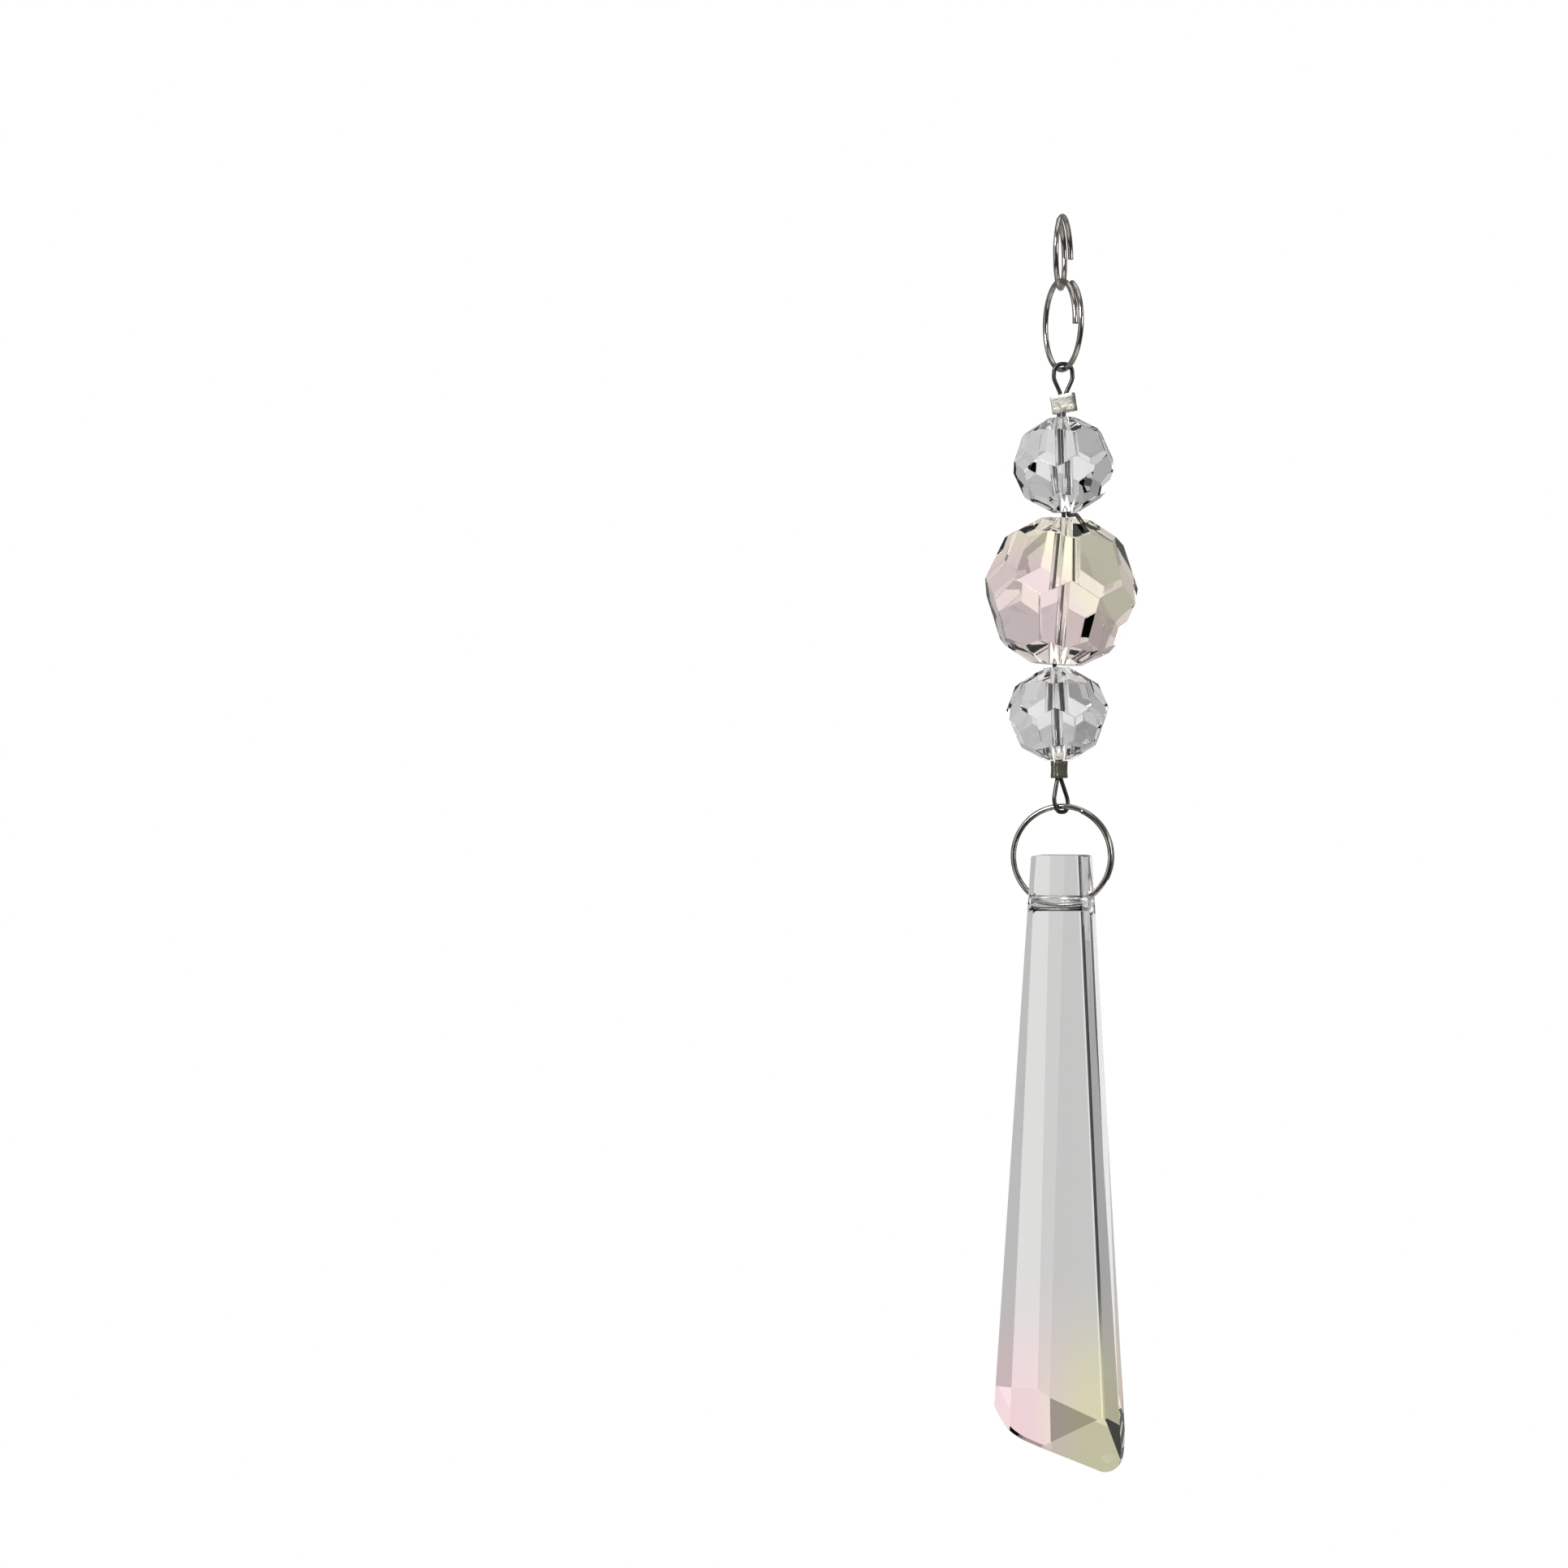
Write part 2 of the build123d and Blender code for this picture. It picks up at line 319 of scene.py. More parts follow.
# %% [markdown]
# ## Mesh helpers and floor
#
# The floor is a pale disc, far enough below the tip to stay out of the front view.

# %% Mesh helpers
def new_piece(name, mesh_builder, body, node, finishes):
    """Turns a bmesh into a piece that rides on a body and stands for a frame node."""
    mesh = bpy.data.meshes.new(name)
    mesh_builder.to_mesh(mesh)
    mesh_builder.free()
    piece = bpy.data.objects.new(name, mesh)
    bpy.context.scene.collection.objects.link(piece)
    for finish in finishes:
        mesh.materials.append(finish)
    if body:
        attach(piece, body)
        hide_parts(node)
    print(name, "faces", len(mesh.polygons))
    return piece


def clean_up(mesh_builder):
    """Merges doubles and turns every face outwards."""
    bmesh.ops.remove_doubles(mesh_builder, verts=mesh_builder.verts, dist=1e-7)
    bmesh.ops.recalc_face_normals(mesh_builder, faces=mesh_builder.faces)


# %% Floor
floor_finish = Finish("pale_floor")
grain = floor_finish.noise(floor_finish.place(), 60.0)
pale = floor_finish.mix(grain, (0.86, 0.86, 0.85), (0.90, 0.90, 0.89))
floor_shader = floor_finish.node("ShaderNodeBsdfPrincipled", {},
                                 {"Base Color": pale, "Roughness": 0.6})
floor_finish.surface(floor_shader)
floor_builder = bmesh.new()
bmesh.ops.create_circle(floor_builder, cap_ends=True, segments=96, radius=0.22)
bmesh.ops.translate(floor_builder, verts=floor_builder.verts, vec=(0, 0, cad_low.z - 0.12))
floor = new_piece("floor", floor_builder, None, None, [floor_finish.material])


# %% [markdown]
# ## Metal finishes
#
# The split rings are nickel-plated spring wire: a warm and rather dark mirror with stains and
# fine marks. The beading wire is plain dark steel. The upper crimp is silver-plated and scuffed
# by the pliers. The lower crimp has the same scuffs in dark olive, a colour that is painted shade.

# %% Metals
def polished_nickel():
    finish = Finish("polished_nickel")
    place = finish.place()
    stain = finish.noise(place, 900.0, 4.0)
    marks = finish.noise(place, 9000.0, 2.0)
    colour = finish.mix(finish.step(stain, 0.40, 0.70), (0.56, 0.535, 0.50), (0.36, 0.33, 0.30))
    rough = 0.08 + stain * 0.10
    shader = finish.node("ShaderNodeBsdfPrincipled", {}, {
        "Base Color": colour, "Metallic": 1.0, "Roughness": rough,
        "Normal": finish.bump(marks, 0.0012 * mm)})
    return finish.surface(shader)


def dark_steel():
    finish = Finish("dark_steel")
    place = finish.place()
    stain = finish.noise(place, 1500.0, 4.0)
    marks = finish.noise(place, 12000.0, 2.0)
    colour = finish.mix(stain, (0.05, 0.05, 0.05), (0.15, 0.148, 0.145))
    shader = finish.node("ShaderNodeBsdfPrincipled", {}, {
        "Base Color": colour, "Metallic": 1.0, "Roughness": 0.22 + stain * 0.2,
        "Normal": finish.bump(marks, 0.004 * mm)})
    return finish.surface(shader)


def plated_crimp(name, bright, dull, wear_scale):
    """Soft plated tube: bright high spots, dull scuffs and a few deeper plier marks."""
    finish = Finish(name)
    place = finish.place()
    scuff = finish.noise(place, wear_scale, 5.0, 0.65)
    pits = finish.noise(place, wear_scale * 4, 3.0)
    wear = finish.step(scuff, 0.38, 0.66)
    colour = finish.mix(wear, bright, dull)
    height = scuff * 0.7 + pits * 0.3
    shader = finish.node("ShaderNodeBsdfPrincipled", {}, {
        "Base Color": colour, "Metallic": 1.0, "Roughness": 0.26 + wear * 0.25,
        "Normal": finish.bump(height, 0.05 * mm)})
    return finish.surface(shader)


nickel = polished_nickel()
wire_steel = dark_steel()
silver_crimp = plated_crimp("silver_crimp", (0.90, 0.88, 0.83), (0.34, 0.32, 0.27), 1100.0)
# The lower crimp's dark olive colours are painted shade on the same plated finish; its scuffs and
# marks are real wear.
shade_painted_crimp = plated_crimp("shade_painted_crimp", (0.34, 0.33, 0.26), (0.15, 0.15, 0.12), 1400.0)


# %% [markdown]
# ## Glass finishes
#
# Cut crystal is clear glass with flat polished facets. The wall of a drilled hole is nearly
# polished too, with a fine grain. Coated crystal is pink on one side and yellow-green on the
# other. The coating is made as a tint of the glass that follows the place on the piece.

# %% Glass
prism_index = 1.54
bead_index = 1.46


def polished_glass(name, index, tint, colour=None):
    """Clear polished glass with faint smears; colour overrides the plain tint."""
    finish = Finish(name)
    place = finish.place()
    smear = finish.noise(place, 260.0, 4.0, 0.6)
    scratch = finish.noise(finish.stretch(place, (900.0, 900.0, 120.0)), 4.0, 3.0)
    shown_colour = colour(finish, place) if colour else finish.mix(
        smear, tint, tuple(0.97 * part for part in tint))
    values = {
        "Base Color": shown_colour, "Roughness": finish.step(smear, 0.55, 0.9) * 0.04,
        "IOR": index, "Transmission Weight": 1.0,
        "Normal": finish.bump(scratch, 0.0006 * mm)}
    shader = finish.node("ShaderNodeBsdfPrincipled", {}, values)
    return finish.surface(shader)


def ground_glass():
    """The nearly polished wall of a drilled hole."""
    finish = Finish("ground_glass")
    grind = finish.noise(finish.place(), 9000.0, 2.0)
    colour = finish.mix(grind, (0.90, 0.91, 0.92), (0.98, 0.98, 0.99))
    shader = finish.node("ShaderNodeBsdfPrincipled", {}, {
        "Base Color": colour, "Roughness": 0.04 + grind * 0.06, "IOR": prism_index,
        "Transmission Weight": 1.0, "Normal": finish.bump(grind, 0.001 * mm)})
    return finish.surface(shader)


clear_crystal = polished_glass("clear_crystal", bead_index, (0.86, 0.865, 0.875))
ground = ground_glass()

pink = (0.99, 0.76, 0.80)
peach = (1.00, 0.87, 0.78)
lemon = (0.96, 0.92, 0.62)
water = (0.80, 0.802, 0.805)
centre_place, _ = hinge("centre_bead_spin")


def bead_coating(finish, place):
    """Pink on the left, yellow-green on the right, meeting along slanting bands."""
    x, _, z = finish.parts(place)
    drift = finish.noise(place, 130.0, 2.0) * (2.0 * mm)
    across = x - centre_place.x + (z - centre_place.z) + drift
    cool = finish.mix(finish.step(across, -12 * mm, -3 * mm), (0.96, 0.88, 0.91),
                      (1.0, 0.82, 0.85))
    middle = finish.mix(finish.step(across, -1.0 * mm, 2.2 * mm), cool, peach)
    return finish.mix(finish.step(across, 2.4 * mm, 4.6 * mm), middle, (1.0, 0.97, 0.76))


coated_crystal = polished_glass("coated_crystal", bead_index, water, bead_coating)

icicle_low, icicle_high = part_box("icicle_prism")


def icicle_coating(finish, place):
    """Clear glass that turns pink and yellow-green over its last few centimetres."""
    x, _, z = finish.parts(place)
    hue = finish.mix(finish.step(x, -4.5 * mm, -0.5 * mm), pink, peach)
    hue = finish.mix(finish.step(x, -1.5 * mm, 3.0 * mm), hue, lemon)
    strength = finish.step(z, icicle_low.z + 24 * mm, icicle_low.z + 6 * mm)
    return finish.mix(strength, water, hue)


icicle_crystal = polished_glass("icicle_crystal", prism_index, water, icicle_coating)


# %% [markdown]
# ## Split rings
#
# A split ring is a coil of a little over one turn. The section of the wire is a circle, and
# Blender's spin turns it about the ring's axis while it climbs by one pitch a turn, as the
# wire does when it is wound on a rod. The two ends are cut square and lightly chamfered.

# %% Split rings
ring_wire = 0.65 * mm
ring_pitch = 0.75 * mm
bead_wire = 0.50 * mm
ring_gap = 0.20 * mm
loop_gap = 0.10 * mm
link_yaw = radians(-72)
ring_end_chamfer = 0.06 * mm
steps_per_turn = 120
# Angles of the two ends of each coil, in degrees.
top_ends, link_ends, icicle_ring_ends = (-5, 74), (-4, 68), (-28, 66)
up = Vector((0, 0, 1))


def wound_ring(name, body, node, radius, along, top, first_end, last_end, left_hand):
    """Coil through top, in the plane of along and up; ends are angles from along."""
    turns = (last_end - first_end + 360) / 360
    start = last_end if left_hand else first_end
    top_turn = ((last_end - 90) if left_hand else (90 - first_end)) % 360 / 360
    steps = ceil(turns * steps_per_turn)
    builder = bmesh.new()
    made = bmesh.ops.create_circle(builder, cap_ends=False, segments=20, radius=ring_wire / 2)
    bmesh.ops.rotate(builder, verts=made["verts"], matrix=Matrix.Rotation(pi / 2, 3, "X"))
    bmesh.ops.translate(builder, verts=made["verts"], vec=(radius, 0, 0))
    direction = -1 if left_hand else 1
    bmesh.ops.spin(builder, geom=builder.verts[:] + builder.edges[:], cent=(0, 0, 0),
                   axis=(0, 0, 1), dvec=(0, 0, ring_pitch * turns / steps),
                   angle=direction * turns * 2 * pi, steps=steps)
    ends = bmesh.ops.holes_fill(builder, edges=builder.edges, sides=0)["faces"]
    clean_up(builder)
    rims = [edge for face in ends for edge in face.edges]
    bmesh.ops.bevel(builder, geom=rims, offset=ring_end_chamfer, segments=2, profile=0.5,
                    affect="EDGES", material=-1)
    for face in builder.faces:
        face.smooth = len(face.verts) == 4
    bmesh.ops.rotate(builder, verts=builder.verts, matrix=Matrix.Rotation(radians(start), 3, "Z"))
    bmesh.ops.translate(builder, verts=builder.verts, vec=(0, -radius, -top_turn * ring_pitch))
    # Local X runs along, local Y is up and local Z is the ring's axis.
    turn = Matrix((along, up, along.cross(up))).transposed()
    bmesh.ops.transform(builder, verts=builder.verts,
                        matrix=Matrix.Translation(top) @ turn.to_4x4())
    return new_piece(name, builder, body, node, [nickel])


link_place, top_along = hinge("link_swing")
loop_place, _ = hinge("icicle_ring_swing")
icicle_place, icicle_along = hinge("icicle_swing")
link_along = Vector((cos(link_yaw), sin(link_yaw), 0))

top_radius = 4.225 * mm
link_radius = 5.25 * mm
icicle_radius = 5.875 * mm

top_ring_top = Vector((0, 0, ring_wire / 2))
link_ring_top = link_place + up * (ring_wire + ring_gap)
icicle_ring_top = loop_place + up * ((ring_wire + bead_wire) / 2 + loop_gap)

wound_ring("top_ring", "hanger", "top_split_ring", top_radius, top_along, top_ring_top,
           *top_ends, True)
wound_ring("link_ring", "link", "link_split_ring", link_radius, link_along, link_ring_top,
           *link_ends, True)
wound_ring("icicle_ring_coil", "icicle_ring", "icicle_split_ring", icicle_radius, icicle_along,
           icicle_ring_top, *icicle_ring_ends, False)


# %% [markdown]
# ## Beading wire
#
# The strand is one wire, bent as a wire bender works: push a straight length, turn it about a
# pin, push again. Each push is an extrusion of the wire's round section and each turn a spin
# about the pin. The route starts at the tail between the first two beads, runs up round the
# upper loop, down through the beads and round the lower loop, and ends inside the last bead.

# %% Beading wire
def bent_wire(route, pins):
    """Round wire along a route in metres, with the radius of the pin at each corner."""
    builder = bmesh.new()
    heading = (route[1] - route[0]).normalized()
    made = bmesh.ops.create_circle(builder, cap_ends=True, segments=16, radius=bead_wire / 2)
    spin_up = heading.to_track_quat("Z", "Y").to_matrix().to_4x4()
    bmesh.ops.transform(builder, verts=made["verts"],
                        matrix=Matrix.Translation(route[0]) @ spin_up)
    section = builder.edges[:]
    place = route[0]
    for index in range(1, len(route)):
        push = route[index]
        if index < len(route) - 1:
            onward = (route[index + 1] - route[index]).normalized()
            turn = heading.angle(onward)
            push = route[index] - heading * (pins[index - 1] * tan(turn / 2))
        grown = bmesh.ops.extrude_edge_only(builder, edges=section)["geom"]
        new_verts = [item for item in grown if isinstance(item, bmesh.types.BMVert)]
        bmesh.ops.translate(builder, verts=new_verts, vec=push - place)
        section = [edge for edge in builder.edges
                   if edge.verts[0] in set(new_verts) and edge.verts[1] in set(new_verts)]
        place = push
        if index == len(route) - 1:
            break
        axis = heading.cross(onward).normalized()
        centre = place + axis.cross(heading) * pins[index - 1]
        steps = max(3, ceil(turn / radians(8)))
        last = bmesh.ops.spin(builder, geom=section + new_verts, cent=centre, axis=axis,
                              angle=turn, steps=steps)["geom_last"]
        section = [item for item in last if isinstance(item, bmesh.types.BMEdge)]
        place = route[index] + onward * (pins[index - 1] * tan(turn / 2))
        heading = onward
    bmesh.ops.contextual_create(builder, geom=section)
    clean_up(builder)
    for face in builder.faces:
        face.smooth = len(face.verts) == 4
    return builder


def point(x, y, z):
    """A place given in millimetres."""
    return Vector((x, y, z)) * mm


# The two runs of wire stand a pair to each side of the strand's middle. Below the centre bead
# they stand on a diagonal, because the lower loop is turned by its yaw.
strand_y = loop_place.y / mm
lower_loop_yaw = radians(45)
pair = 0.28
diagonal = pair * cos(lower_loop_yaw)
knots = [(-0.24, -23.30), (0.34, -35.10), (-0.85, -52.90), (-0.50, -64.05)]
upper_loop, _ = hinge("strand_swing")
upper_x, loop_z = upper_loop.x / mm, upper_loop.z / mm
crimp_top_z, upper_shoulder_z, lower_crimp_low_z = -20.70, -18.85, -66.20
upper_shoulder, upper_half_width = 1.12, 1.02
lower_corner = (-0.30, -68.70)
lower_foot = (-0.10, -70.225)
half_loop = 1.22 * cos(lower_loop_yaw)
foot = 1.05 * cos(lower_loop_yaw)
tuck_spread, tuck_drop = 1.6, 1.2

route = [
    point(2.10, strand_y - 4.85, -36.45),
    point(1.35, strand_y - 2.75, -35.10),
    point(knots[1][0] + pair, strand_y, knots[1][1]),
    point(knots[0][0] + pair, strand_y, knots[0][1]),
    point(upper_x + pair, strand_y, crimp_top_z),
    point(upper_x + upper_shoulder, strand_y, upper_shoulder_z),
    point(upper_x + upper_half_width, strand_y, loop_z),
    point(upper_x - upper_half_width, strand_y, loop_z),
    point(upper_x - upper_shoulder, strand_y, upper_shoulder_z),
    point(upper_x - pair, strand_y, crimp_top_z),
    point(knots[0][0] - pair, strand_y, knots[0][1]),
    point(knots[1][0] - pair, strand_y, knots[1][1]),
    point(knots[2][0] - diagonal, strand_y - diagonal, knots[2][1]),
    point(knots[3][0] - diagonal, strand_y - diagonal, knots[3][1]),
    point(knots[3][0] - diagonal, strand_y - diagonal, lower_crimp_low_z),
    point(lower_corner[0] - half_loop, strand_y - half_loop, lower_corner[1]),
    point(lower_foot[0] - foot, strand_y - foot, lower_foot[1]),
    point(lower_foot[0] + foot, strand_y + foot, lower_foot[1]),
    point(lower_corner[0] + half_loop, strand_y + half_loop, lower_corner[1]),
    point(knots[3][0] + diagonal, strand_y + diagonal, lower_crimp_low_z),
    point(knots[3][0] + diagonal, strand_y + diagonal, knots[3][1]),
    point(knots[2][0] + diagonal * tuck_spread, strand_y + diagonal * tuck_spread,
          knots[2][1] - tuck_drop),
]
pins = [radius * mm for radius in (
    1.2, 0.32, 3.0, 1.5, 1.6, 0.96, 0.96, 1.6, 1.5, 3.0, 3.0, 3.0, 3.0, 1.5,
    1.6, 0.98, 0.98, 1.6, 1.5, 3.0)]
new_piece("strung_wire", bent_wire(route, pins), "strand", "beading_wire",
          [wire_steel])


# %% [markdown]
# ## Crimps
#
# A crimp is a short soft tube that is squeezed flat over the two wires. It starts as a block
# with its long edges rounded over, so that its section is a flattened tube. Its ends are inset
# and pushed in to show the slit, and its middle is pinched thinner by the pliers.

# %% Crimps
crimp_rim = 0.05 * mm
crimp_wall_share = 0.30
slit_depth = 0.5 * mm
crimp_bevel = 0.03 * mm


def squeezed_crimp(name, node, size, round_over, pinch, place, finish):
    """Flattened tube about Z; place is the matrix that puts it on the strand."""
    width, thickness, height = (part * mm for part in size)
    builder = bmesh.new()
    bmesh.ops.create_cube(builder, size=1.0)
    bmesh.ops.scale(builder, verts=builder.verts, vec=(width, thickness, height))
    posts = [edge for edge in builder.edges
             if abs(edge.verts[0].co.z - edge.verts[1].co.z) > height / 2]
    bmesh.ops.bevel(builder, geom=posts, offset=round_over * mm, segments=7, profile=0.5,
                    affect="EDGES", material=-1)
    ends = [face for face in builder.faces if abs(face.normal.z) > 0.9]
    bmesh.ops.inset_region(builder, faces=ends, thickness=crimp_rim)
    rims = [face for face in builder.faces if abs(face.normal.z) > 0.9 and len(face.verts) > 4]
    bmesh.ops.inset_region(builder, faces=rims, thickness=thickness * crimp_wall_share)
    slits = [face for face in builder.faces if abs(face.normal.z) > 0.9 and len(face.verts) > 4]
    for slit in slits:
        inward = -slit_depth if slit.normal.z > 0 else slit_depth
        pushed = bmesh.ops.extrude_discrete_faces(builder, faces=[slit])["faces"]
        bmesh.ops.translate(builder, verts=pushed[0].verts, vec=(0, 0, inward))
    for cut in (-0.30, -0.12, 0.12, 0.30):
        geometry = builder.verts[:] + builder.edges[:] + builder.faces[:]
        bmesh.ops.bisect_plane(builder, geom=geometry, plane_co=(0, 0, cut * height),
                               plane_no=(0, 0, 1))
    waist = [vert for vert in builder.verts if abs(vert.co.z) < 0.2 * height]
    bmesh.ops.scale(builder, verts=waist, vec=(1.0, pinch, 1.0))
    clean_up(builder)
    sharp = [edge for edge in builder.edges
             if len(edge.link_faces) == 2 and edge.calc_face_angle() > radians(50)]
    bmesh.ops.bevel(builder, geom=sharp, offset=crimp_bevel, segments=2, profile=0.5,
                    affect="EDGES", material=-1)
    for face in builder.faces:
        face.smooth = True
    bmesh.ops.transform(builder, verts=builder.verts, matrix=place)
    return new_piece(name, builder, "strand", node, [finish])


def middle(node):
    """Centre of a node's box."""
    low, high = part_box(node)
    return (low + high) / 2


upper_turn = Matrix.Rotation(radians(-9), 4, "Y") @ Matrix.Rotation(radians(-22), 4, "Z")
lower_turn = Matrix.Rotation(lower_loop_yaw, 4, "Z")
squeezed_crimp("upper_crimp_tube", "upper_crimp", (2.9, 1.05, 2.15),
               0.16, 0.96, Matrix.Translation(middle("upper_crimp")) @ upper_turn, silver_crimp)
squeezed_crimp("lower_crimp_tube", "lower_crimp", (2.35, 1.05, 2.05),
               0.40, 0.90, Matrix.Translation(middle("lower_crimp")) @ lower_turn, shade_painted_crimp)


# %% [markdown]
# ## Beads
#
# A cut bead is ground from a drilled blank, one flat at a time. Spinning a profile with the
# hole and its two countersinks makes the blank. Then 32 cuts with `bisect_plane` take away
# everything outside each facet, in four rows of eight, each row turned half a facet from the
# last. Real facet edges are never razor sharp, so they get a bevel of a few hundredths of a
# millimetre, which catches the thin bright lines that make cut glass look cut.

# %% Cutting
def cut_flat(builder, spot, outward):
    """Takes away all that lies outside a plane and closes the cut with one face."""
    geometry = builder.verts[:] + builder.edges[:] + builder.faces[:]
    cut = bmesh.ops.bisect_plane(builder, geom=geometry, dist=1e-8, plane_co=spot,
                                 plane_no=outward, clear_outer=True)["geom_cut"]
    rim = [item for item in cut if isinstance(item, bmesh.types.BMEdge)]
    if rim:
        bmesh.ops.contextual_create(builder, geom=rim)
    return len(rim)


def soften_edges(builder, width, keep=lambda edge: True):
    """Narrow polished bevel on every edge where two facets meet."""
    sharp = [edge for edge in builder.edges if len(edge.link_faces) == 2
             and edge.calc_face_angle() > radians(3) and keep(edge)]
    bmesh.ops.bevel(builder, geom=sharp, offset=width, segments=2, profile=0.5,
                    affect="EDGES", material=-1, clamp_overlap=True)
    return len(sharp)


# %% Faceted beads
end_latitude, middle_latitude = 58.5, 20.5
facet_rows = ((end_latitude, 0.0), (middle_latitude, 0.5),
              (-middle_latitude, 1.0), (-end_latitude, 1.5))
# The widest corners of a staggered bead stand this much further out than its middle facets.
corner_reach = 1.11
facets_per_row = 8
hole_radius = 0.70 * mm
countersink = 0.35 * mm
bead_bevel = 0.045 * mm


def faceted_bead(diameter, height, flat):
    """Bead about Z, centred at the origin; the hole wall has the second finish."""
    half = height / 2
    mouth = hole_radius + countersink
    outside = diameter * 0.6
    profile = [(hole_radius, -half + countersink), (mouth, -half), (outside, -half),
               (outside, half), (mouth, half), (hole_radius, half - countersink)]
    builder = bmesh.new()
    corners = [builder.verts.new((x, 0, z)) for x, z in profile]
    edges = [builder.edges.new((corners[i], corners[i - 1])) for i in range(len(corners))]
    bmesh.ops.spin(builder, geom=corners + edges, cent=(0, 0, 0), axis=(0, 0, 1),
                   angle=2 * pi, steps=32, use_merge=True)
    clean_up(builder)
    for latitude, stagger in facet_rows:
        tilt = radians(latitude)
        end_row = abs(latitude) == end_latitude
        reach = flat * cos(tilt) + half * abs(sin(tilt)) if end_row else (
            diameter / 2 / corner_reach)
        for facet in range(facets_per_row):
            turn = 2 * pi / facets_per_row * (facet + stagger)
            outward = Vector((cos(turn) * cos(tilt), sin(turn) * cos(tilt), sin(tilt)))
            cut_flat(builder, outward * reach, outward)
    clean_up(builder)

    def on_outside(edge):
        return all(Vector(vert.co.xy).length > mouth * 1.02 for vert in edge.verts)

    soften_edges(builder, bead_bevel, on_outside)
    for face in builder.faces:
        in_hole = all(Vector(vert.co.xy).length < mouth * 1.01 for vert in face.verts)
        face.material_index = 1 if in_hole else 0
        face.smooth = in_hole
    return builder


def strung_bead(name, body, size, turn, finish):
    """Puts a bead on the wire, about its own hinge."""
    place, axis = hinge(body + "_spin")
    builder = faceted_bead(*(part * mm for part in size))
    side_way = Vector((axis.z, 0, -axis.x))
    frame_turn = Matrix((side_way, axis.cross(side_way), axis)).transposed().to_4x4()
    whole = Matrix.Translation(place) @ frame_turn @ Matrix.Rotation(radians(turn), 4, "Z")
    bmesh.ops.transform(builder, verts=builder.verts, matrix=whole)
    return new_piece(name, builder, body, body, [finish, ground])


# Diameter, height and width of the end flats in millimetres, then the turn about the wire.
strung_bead("upper_cut_bead", "upper_bead", (12.1, 11.2, 1.5), 11, clear_crystal)
strung_bead("centre_cut_bead", "centre_bead", (18.3, 17.25, 2.8), 4, coated_crystal)
strung_bead("lower_cut_bead", "lower_bead", (12.1, 10.95, 1.5), -6, clear_crystal)


# %% [markdown]
# ## Icicle
#
# The icicle is one long block of crystal, cut by flats: two front bevels and two sides that
# taper along its length, two wide flats on the back that leave a narrow strip between them, and
# a tip that is bevelled from the front and twice from the back. The tip's outline is round at
# the left shoulder and at the right toe, so a fan of narrow flats follows each curve. The right
# front edge is ground to a bevel of 0.3 mm and the other edges are only softened. The cross
# hole is bored last, with a wide countersink at each mouth for the ring.

# %% Icicle
icicle_top = icicle_high.z
icicle_bottom = icicle_low.z
half_depth = 3.05 * mm
front_half = (2.61 * mm, 5.92 * mm)
side_faces = ((-3.19 * mm, -8.37 * mm), (3.18 * mm, 7.55 * mm))
flank_half_height = 2.05 * mm
strip = ((-1.56 * mm, -3.30 * mm), (0.21 * mm, -1.87 * mm))
shoulder_drop = 0.25 * mm
block_width = 20 * mm
corner_flats = 9
long_edge = 20 * mm
ground_bevel = 0.30 * mm
soft_bevel = 0.05 * mm
ground_zone_y = -2.7 * mm
middle_z = (icicle_top + icicle_bottom) / 2
core = Vector((0, 0, middle_z))


def cut_through(builder, first, second, third):
    """Flat through three places; the middle of the icicle stays."""
    first, second, third = Vector(first), Vector(second), Vector(third)
    outward = (second - first).cross(third - first).normalized()
    if outward.dot(core - first) > 0:
        outward = -outward
    return cut_flat(builder, first, outward)


def round_corner(builder, start, through, end, flats):
    """Fan of flats along the arc through three places of the front outline (x, z)."""
    a, b, c = (Vector(place) for place in (start, through, end))
    d = 2 * (a.x * (b.y - c.y) + b.x * (c.y - a.y) + c.x * (a.y - b.y))
    centre = Vector((
        (a.length_squared * (b.y - c.y) + b.length_squared * (c.y - a.y)
         + c.length_squared * (a.y - b.y)) / d,
        (a.length_squared * (c.x - b.x) + b.length_squared * (a.x - c.x)
         + c.length_squared * (b.x - a.x)) / d))
    radius = (a - centre).length
    sweep = (a - centre).angle_signed(c - centre)
    for index in range(flats):
        spoke = (a - centre).normalized()
        spoke.rotate(Matrix.Rotation(-sweep * (index + 0.5) / flats, 2))
        outward = Vector((spoke.x, 0, spoke.y))
        spot = Vector((centre.x, 0, centre.y)) + outward * radius
        cut_flat(builder, spot, outward)
    return radius


# Three places on each flat of the tip: two flats on the back and one on the front.
tip_flats = (
    (point(-1.60, 3.05, -139.75), point(4.07, 2.40, -141.50), point(-1.36, 1.53, -142.75)),
    (point(-1.60, 3.05, -139.75), point(-6.10, 2.39, -138.20), point(-1.36, 1.53, -142.75)),
    (point(5.32, -3.05, -141.35), point(-2.11, -3.05, -145.15), point(5.35, -1.60, -148.00)))

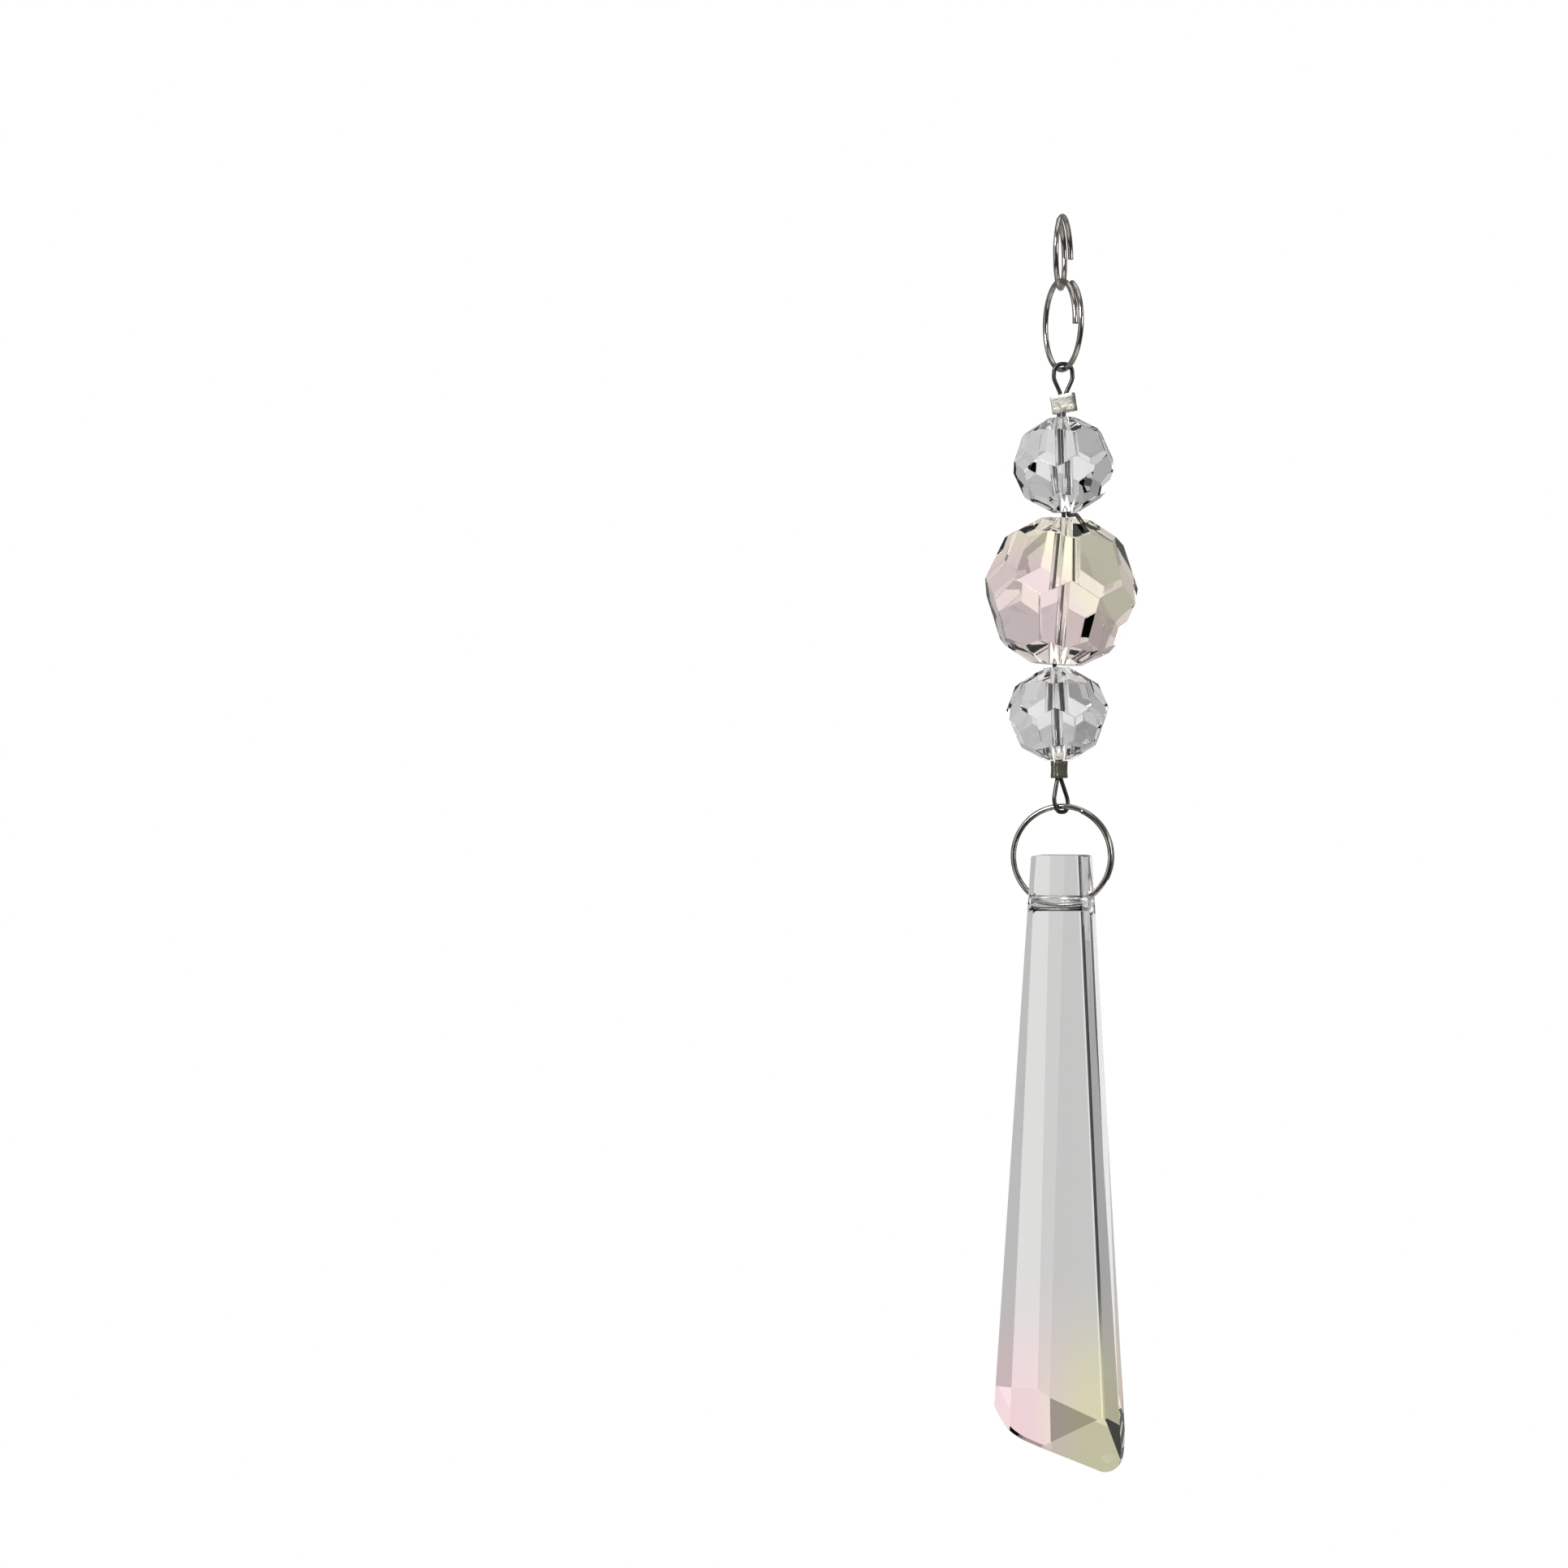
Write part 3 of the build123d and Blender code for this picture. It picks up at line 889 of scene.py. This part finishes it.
builder = bmesh.new()
bmesh.ops.create_cube(builder, size=1.0)
bmesh.ops.scale(builder, verts=builder.verts,
                vec=(block_width, 2 * half_depth, icicle_top - icicle_bottom))
bmesh.ops.translate(builder, verts=builder.verts, vec=core)
for index, way in enumerate((-1, 1)):
    side_top, side_bottom = side_faces[index]
    flank_x = (side_top + side_bottom) / 2
    front_top, front_bottom = way * front_half[0], way * front_half[1]
    strip_top, strip_bottom = strip[index]
    cut_through(builder, (front_top, -half_depth, icicle_top),
                (front_bottom, -half_depth, icicle_bottom),
                (flank_x, -flank_half_height, middle_z))
    cut_through(builder, (side_top, 0, icicle_top), (side_bottom, 0, icicle_bottom),
                (side_bottom, half_depth, icicle_bottom))
    cut_through(builder, (front_top, 0, icicle_top), (front_top, half_depth, icicle_top),
                (side_top + way * mm, 0, icicle_top - 2 * shoulder_drop))
    cut_through(builder, (strip_top, half_depth, icicle_top),
                (strip_bottom, half_depth, icicle_bottom),
                (flank_x, flank_half_height, middle_z))
for flat in tip_flats:
    cut_through(builder, *flat)
left_corner = [Vector(spot) * mm for spot in ((-7.45, -141.20), (-5.91, -143.09),
                                              (-3.84, -144.40))]
toe_corner = [Vector(spot) * mm for spot in ((4.74, -147.82), (6.55, -147.60),
                                             (7.33, -145.95))]
left_radius = round_corner(builder, *left_corner, corner_flats)
toe_radius = round_corner(builder, *toe_corner, corner_flats)
slant_start, slant_end = left_corner[2], toe_corner[0]
cut_through(builder, (slant_start.x, 0, slant_start.y), (slant_start.x, mm, slant_start.y),
            (slant_end.x, 0, slant_end.y))
clean_up(builder)
print("tip radii", round(left_radius / mm, 2), round(toe_radius / mm, 2))
right_front = [edge for edge in builder.edges
               if edge.calc_length() > long_edge and edge.verts[0].co.x > 0
               and max(vert.co.y for vert in edge.verts) < -half_depth + 0.1 * mm]
bmesh.ops.bevel(builder, geom=right_front, offset=ground_bevel, segments=3, profile=0.5,
                affect="EDGES", material=-1)
ground_lines = [edge for edge in builder.edges if edge.calc_length() > long_edge
                and edge.verts[0].co.x > 0 and edge.verts[0].co.y < ground_zone_y]
edges_softened = soften_edges(builder, soft_bevel, lambda edge: edge not in ground_lines)
print("edges softened", edges_softened, "ground edges", len(right_front), len(ground_lines))
for face in builder.faces:
    face.smooth = False

# %% Boring the icicle
hole = 0.95 * mm
straight = 2.85 * mm
sink = 2.0 * mm
wall_tolerance = 0.02 * mm
drill_profile = [(0, -straight - sink), (hole + sink, -straight - sink), (hole, -straight),
                 (hole, straight), (hole + sink, straight + sink), (0, straight + sink)]
drill = bmesh.new()
dots = [drill.verts.new((x, 0, z)) for x, z in drill_profile]
lines = [drill.edges.new((dots[i], dots[i + 1])) for i in range(len(dots) - 1)]
bmesh.ops.spin(drill, geom=dots + lines, cent=(0, 0, 0), axis=(0, 0, 1), angle=2 * pi,
               steps=48, use_merge=True)
clean_up(drill)
bmesh.ops.rotate(drill, verts=drill.verts, matrix=Matrix.Rotation(pi / 2, 3, "Y"))
bmesh.ops.translate(drill, verts=drill.verts, vec=(0, 0, icicle_place.z))
drill_piece = new_piece("drill", drill, None, None, [ground])
blank = new_piece("icicle_blank", builder, None, None, [icicle_crystal, ground])
bore = blank.modifiers.new("bore", "BOOLEAN")
bore.operation = "DIFFERENCE"
bore.solver = "EXACT"
bore.object = drill_piece
bored = bpy.data.meshes.new_from_object(
    blank.evaluated_get(bpy.context.evaluated_depsgraph_get()))
for scrap in (blank, drill_piece):
    bpy.data.objects.remove(scrap)



def from_hole_axis(spot):
    """Distance of a place from the axis of the cross hole."""
    return Vector((spot.y, spot.z - icicle_place.z)).length


def on_hole_wall(face):
    """Whether a face lies on the bore or on one of its countersinks."""
    inside = (max(from_hole_axis(vert.co) for vert in face.verts) < hole + sink
              and from_hole_axis(face.calc_center_median()) < hole * 1.9)
    slanted = abs(face.normal.y) + abs(face.normal.z) > 0.3
    return inside and slanted and all(
        abs(from_hole_axis(vert.co) - (hole + max(0.0, abs(vert.co.x) - straight)))
        < wall_tolerance for vert in face.verts)


icicle_builder = bmesh.new()
icicle_builder.from_mesh(bored)
bmesh.ops.remove_doubles(icicle_builder, verts=icicle_builder.verts, dist=1e-7)
for face in icicle_builder.faces:
    in_hole = on_hole_wall(face)
    face.smooth = in_hole
    face.material_index = 1 if in_hole else 0
turn = Matrix((icicle_along, up.cross(icicle_along), up)).transposed().to_4x4()
shift = Matrix.Translation((icicle_place.x, icicle_place.y, 0))
bmesh.ops.transform(icicle_builder, verts=icicle_builder.verts, matrix=shift @ turn)
new_piece("icicle_crystal", icicle_builder, "icicle", "icicle_prism",
          [icicle_crystal, ground])
